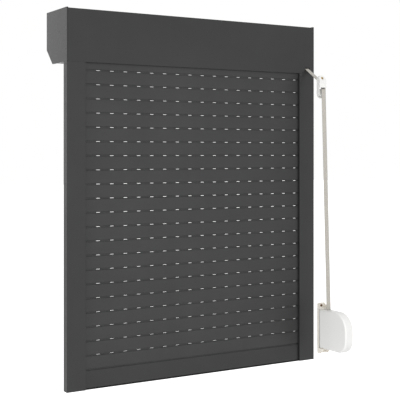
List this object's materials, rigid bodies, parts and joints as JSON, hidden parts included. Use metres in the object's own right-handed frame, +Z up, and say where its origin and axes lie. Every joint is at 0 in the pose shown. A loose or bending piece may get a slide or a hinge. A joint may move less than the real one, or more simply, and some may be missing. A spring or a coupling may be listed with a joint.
{
  "type": "roller shutter",
  "caption": "Exterior roller shutter: a square chamfered box, grey light-slot slats between guide rails, and a strap that runs over a wall guide to a white swivel winder.",
  "frame": {"origin": "centre of the box's flat back face, which lies on the window frame", "axes": "+X along the box towards the strap, -Y into the room, +Y outdoors, +Z up"},
  "size_m": [0.8, 0.3352, 1.001],
  "materials": {
    "box_painted": "smooth powder coat, satin",
    "cap_painted": "cast, powder coated, satin",
    "rail_painted": "extruded, powder coated, satin",
    "slat_painted": "roll formed, stove enamelled",
    "zinc_steel": "bright zinc plated",
    "white_plastic": "smooth injection moulded",
    "black_plastic": "fine grained",
    "rubber_black": "soft extruded",
    "brush_pile": "dense pile",
    "strap_webbing": "woven webbing",
    "spring_steel": "blued strip",
    "winder_painted": "white enamel",
    "roller_plastic": "turned",
    "brass_steel": "turned and ground"
  },
  "bodies": {
    "box": {"end_cap_left": "cap_painted", "end_cap_right": "cap_painted", "box_rear_panel": "box_painted", "box_top_front_panel": "box_painted", "box_cover": "box_painted", "cover_screws": "zinc_steel", "rail_left": "rail_painted", "rail_right": "rail_painted", "brush_seals": "brush_pile", "rail_foot_plugs": "black_plastic", "inlet_funnels": "black_plastic", "bearings": "brass_steel", "bearing_holders": "black_plastic", "suspension_springs": "spring_steel", "strap_outlet_bush": "black_plastic", "strap": "strap_webbing", "guide_plate": "white_plastic", "guide_hood": "white_plastic", "guide_axle": "brass_steel", "winder_plate": "winder_painted", "winder_swivel_pins": "zinc_steel"},
    "bar": {"bottom_bar": "slat_painted", "bottom_seal": "rubber_black", "bar_stops": "rubber_black", "bar_end_plugs": "black_plastic"},
    "slat_01_body": {"slat_01": "slat_painted"},
    "slat_02_body": {"slat_02": "slat_painted"},
    "slat_03_body": {"slat_03": "slat_painted"},
    "slat_04_body": {"slat_04": "slat_painted"},
    "slat_05_body": {"slat_05": "slat_painted"},
    "slat_06_body": {"slat_06": "slat_painted"},
    "slat_07_body": {"slat_07": "slat_painted"},
    "slat_08_body": {"slat_08": "slat_painted"},
    "slat_09_body": {"slat_09": "slat_painted"},
    "slat_10_body": {"slat_10": "slat_painted"},
    "slat_11_body": {"slat_11": "slat_painted"},
    "slat_12_body": {"slat_12": "slat_painted"},
    "slat_13_body": {"slat_13": "slat_painted"},
    "slat_14_body": {"slat_14": "slat_painted"},
    "slat_15_body": {"slat_15": "slat_painted"},
    "slat_16_body": {"slat_16": "slat_painted"},
    "slat_17_body": {"slat_17": "slat_painted"},
    "slat_18_body": {"slat_18": "slat_painted"},
    "slat_19_body": {"slat_19": "slat_painted"},
    "slat_20_body": {"slat_20": "slat_painted"},
    "slat_21_body": {"slat_21": "slat_painted"},
    "slat_22_body": {"slat_22": "slat_painted"},
    "shaft": {"shaft_tube": "zinc_steel", "shaft_plug": "black_plastic", "strap_pulley": "black_plastic", "pulley_strap_coil": "strap_webbing"},
    "guide_roller_body": {"guide_roller": "roller_plastic"},
    "winder": {"winder_shell_left": "white_plastic", "winder_shell_right": "white_plastic", "winder_axle": "brass_steel", "winder_spring": "spring_steel", "winder_strap": "strap_webbing", "shell_screws": "zinc_steel"},
    "spool": {"winder_spool": "black_plastic", "spool_strap_coil": "strap_webbing"}
  },
  "joints": [
    {"name": "curtain_lift", "type": "slide", "parent": "box", "child": "bar", "axis": [0, 0, 1], "range_m": [0, 0.8169], "deforming": ["suspension_springs"]},
    {"name": "slat_01_lift", "type": "slide", "parent": "box", "child": "slat_01_body", "axis": [0, 0, 1], "range_m": [0, 0.1124], "deforming": ["slat_01"]},
    {"name": "slat_02_lift", "type": "slide", "parent": "box", "child": "slat_02_body", "axis": [0, 0, 1], "range_m": [0, 0.146], "deforming": ["slat_02"]},
    {"name": "slat_03_lift", "type": "slide", "parent": "box", "child": "slat_03_body", "axis": [0, 0, 1], "range_m": [0, 0.1796], "deforming": ["slat_03"]},
    {"name": "slat_04_lift", "type": "slide", "parent": "box", "child": "slat_04_body", "axis": [0, 0, 1], "range_m": [0, 0.2132], "deforming": ["slat_04"]},
    {"name": "slat_05_lift", "type": "slide", "parent": "box", "child": "slat_05_body", "axis": [0, 0, 1], "range_m": [0, 0.2468], "deforming": ["slat_05"]},
    {"name": "slat_06_lift", "type": "slide", "parent": "box", "child": "slat_06_body", "axis": [0, 0, 1], "range_m": [0, 0.2804], "deforming": ["slat_06"]},
    {"name": "slat_07_lift", "type": "slide", "parent": "box", "child": "slat_07_body", "axis": [0, 0, 1], "range_m": [0, 0.314], "deforming": ["slat_07"]},
    {"name": "slat_08_lift", "type": "slide", "parent": "box", "child": "slat_08_body", "axis": [0, 0, 1], "range_m": [0, 0.3476], "deforming": ["slat_08"]},
    {"name": "slat_09_lift", "type": "slide", "parent": "box", "child": "slat_09_body", "axis": [0, 0, 1], "range_m": [0, 0.3812], "deforming": ["slat_09"]},
    {"name": "slat_10_lift", "type": "slide", "parent": "box", "child": "slat_10_body", "axis": [0, 0, 1], "range_m": [0, 0.4148], "deforming": ["slat_10"]},
    {"name": "slat_11_lift", "type": "slide", "parent": "box", "child": "slat_11_body", "axis": [0, 0, 1], "range_m": [0, 0.4484], "deforming": ["slat_11"]},
    {"name": "slat_12_lift", "type": "slide", "parent": "box", "child": "slat_12_body", "axis": [0, 0, 1], "range_m": [0, 0.482], "deforming": ["slat_12"]},
    {"name": "slat_13_lift", "type": "slide", "parent": "box", "child": "slat_13_body", "axis": [0, 0, 1], "range_m": [0, 0.5156], "deforming": ["slat_13"]},
    {"name": "slat_14_lift", "type": "slide", "parent": "box", "child": "slat_14_body", "axis": [0, 0, 1], "range_m": [0, 0.5492], "deforming": ["slat_14"]},
    {"name": "slat_15_lift", "type": "slide", "parent": "box", "child": "slat_15_body", "axis": [0, 0, 1], "range_m": [0, 0.5828], "deforming": ["slat_15"]},
    {"name": "slat_16_lift", "type": "slide", "parent": "box", "child": "slat_16_body", "axis": [0, 0, 1], "range_m": [0, 0.6164], "deforming": ["slat_16"]},
    {"name": "slat_17_lift", "type": "slide", "parent": "box", "child": "slat_17_body", "axis": [0, 0, 1], "range_m": [0, 0.65], "deforming": ["slat_17"]},
    {"name": "slat_18_lift", "type": "slide", "parent": "box", "child": "slat_18_body", "axis": [0, 0, 1], "range_m": [0, 0.6836], "deforming": ["slat_18"]},
    {"name": "slat_19_lift", "type": "slide", "parent": "box", "child": "slat_19_body", "axis": [0, 0, 1], "range_m": [0, 0.7172], "deforming": ["slat_19"]},
    {"name": "slat_20_lift", "type": "slide", "parent": "box", "child": "slat_20_body", "axis": [0, 0, 1], "range_m": [0, 0.7508], "deforming": ["slat_20"]},
    {"name": "slat_21_lift", "type": "slide", "parent": "box", "child": "slat_21_body", "axis": [0, 0, 1], "range_m": [0, 0.7844], "deforming": ["slat_21"]},
    {"name": "slat_22_lift", "type": "slide", "parent": "box", "child": "slat_22_body", "axis": [0, 0, 1], "range_m": [0, 0.8174], "deforming": ["slat_22"]},
    {"name": "shaft_turn", "type": "hinge", "parent": "box", "child": "shaft", "pos_m": [0, 0.0685, 0], "axis": [1, 0, 0], "range_deg": [-1175, 0]},
    {"name": "guide_roller_turn", "type": "hinge", "parent": "box", "child": "guide_roller_body", "pos_m": [0.376, -0.0713, -0.1115], "axis": [1, 0, 0], "range_deg": [0, 8660]},
    {"name": "winder_swivel", "type": "hinge", "parent": "box", "child": "winder", "pos_m": [0.376, -0.082, -0.8218], "axis": [0, 0, 1], "range_deg": [-60, 60]},
    {"name": "spool_turn", "type": "hinge", "parent": "winder", "child": "spool", "pos_m": [0.376, -0.1363, -0.8218], "axis": [1, 0, 0], "range_deg": [-1545, 0], "deforming": ["winder_spring"]}
  ],
  "couplings": [
    {"joint": "slat_01_lift", "follows": "curtain_lift", "ratio": 0.13698},
    {"joint": "slat_02_lift", "follows": "curtain_lift", "ratio": 0.17811},
    {"joint": "slat_03_lift", "follows": "curtain_lift", "ratio": 0.21924},
    {"joint": "slat_04_lift", "follows": "curtain_lift", "ratio": 0.26038},
    {"joint": "slat_05_lift", "follows": "curtain_lift", "ratio": 0.30151},
    {"joint": "slat_06_lift", "follows": "curtain_lift", "ratio": 0.34264},
    {"joint": "slat_07_lift", "follows": "curtain_lift", "ratio": 0.38377},
    {"joint": "slat_08_lift", "follows": "curtain_lift", "ratio": 0.4249},
    {"joint": "slat_09_lift", "follows": "curtain_lift", "ratio": 0.46603},
    {"joint": "slat_10_lift", "follows": "curtain_lift", "ratio": 0.50716},
    {"joint": "slat_11_lift", "follows": "curtain_lift", "ratio": 0.54829},
    {"joint": "slat_12_lift", "follows": "curtain_lift", "ratio": 0.58942},
    {"joint": "slat_13_lift", "follows": "curtain_lift", "ratio": 0.63055},
    {"joint": "slat_14_lift", "follows": "curtain_lift", "ratio": 0.67169},
    {"joint": "slat_15_lift", "follows": "curtain_lift", "ratio": 0.71282},
    {"joint": "slat_16_lift", "follows": "curtain_lift", "ratio": 0.75395},
    {"joint": "slat_17_lift", "follows": "curtain_lift", "ratio": 0.79508},
    {"joint": "slat_18_lift", "follows": "curtain_lift", "ratio": 0.83621},
    {"joint": "slat_19_lift", "follows": "curtain_lift", "ratio": 0.87734},
    {"joint": "slat_20_lift", "follows": "curtain_lift", "ratio": 0.91847},
    {"joint": "slat_21_lift", "follows": "curtain_lift", "ratio": 0.9596},
    {"joint": "slat_22_lift", "follows": "curtain_lift", "ratio": 1},
    {"joint": "shaft_turn", "follows": "curtain_lift", "rad_per_m": -25},
    {"joint": "guide_roller_turn", "follows": "curtain_lift", "rad_per_m": 185},
    {"joint": "spool_turn", "follows": "curtain_lift", "rad_per_m": -33}
  ]
}
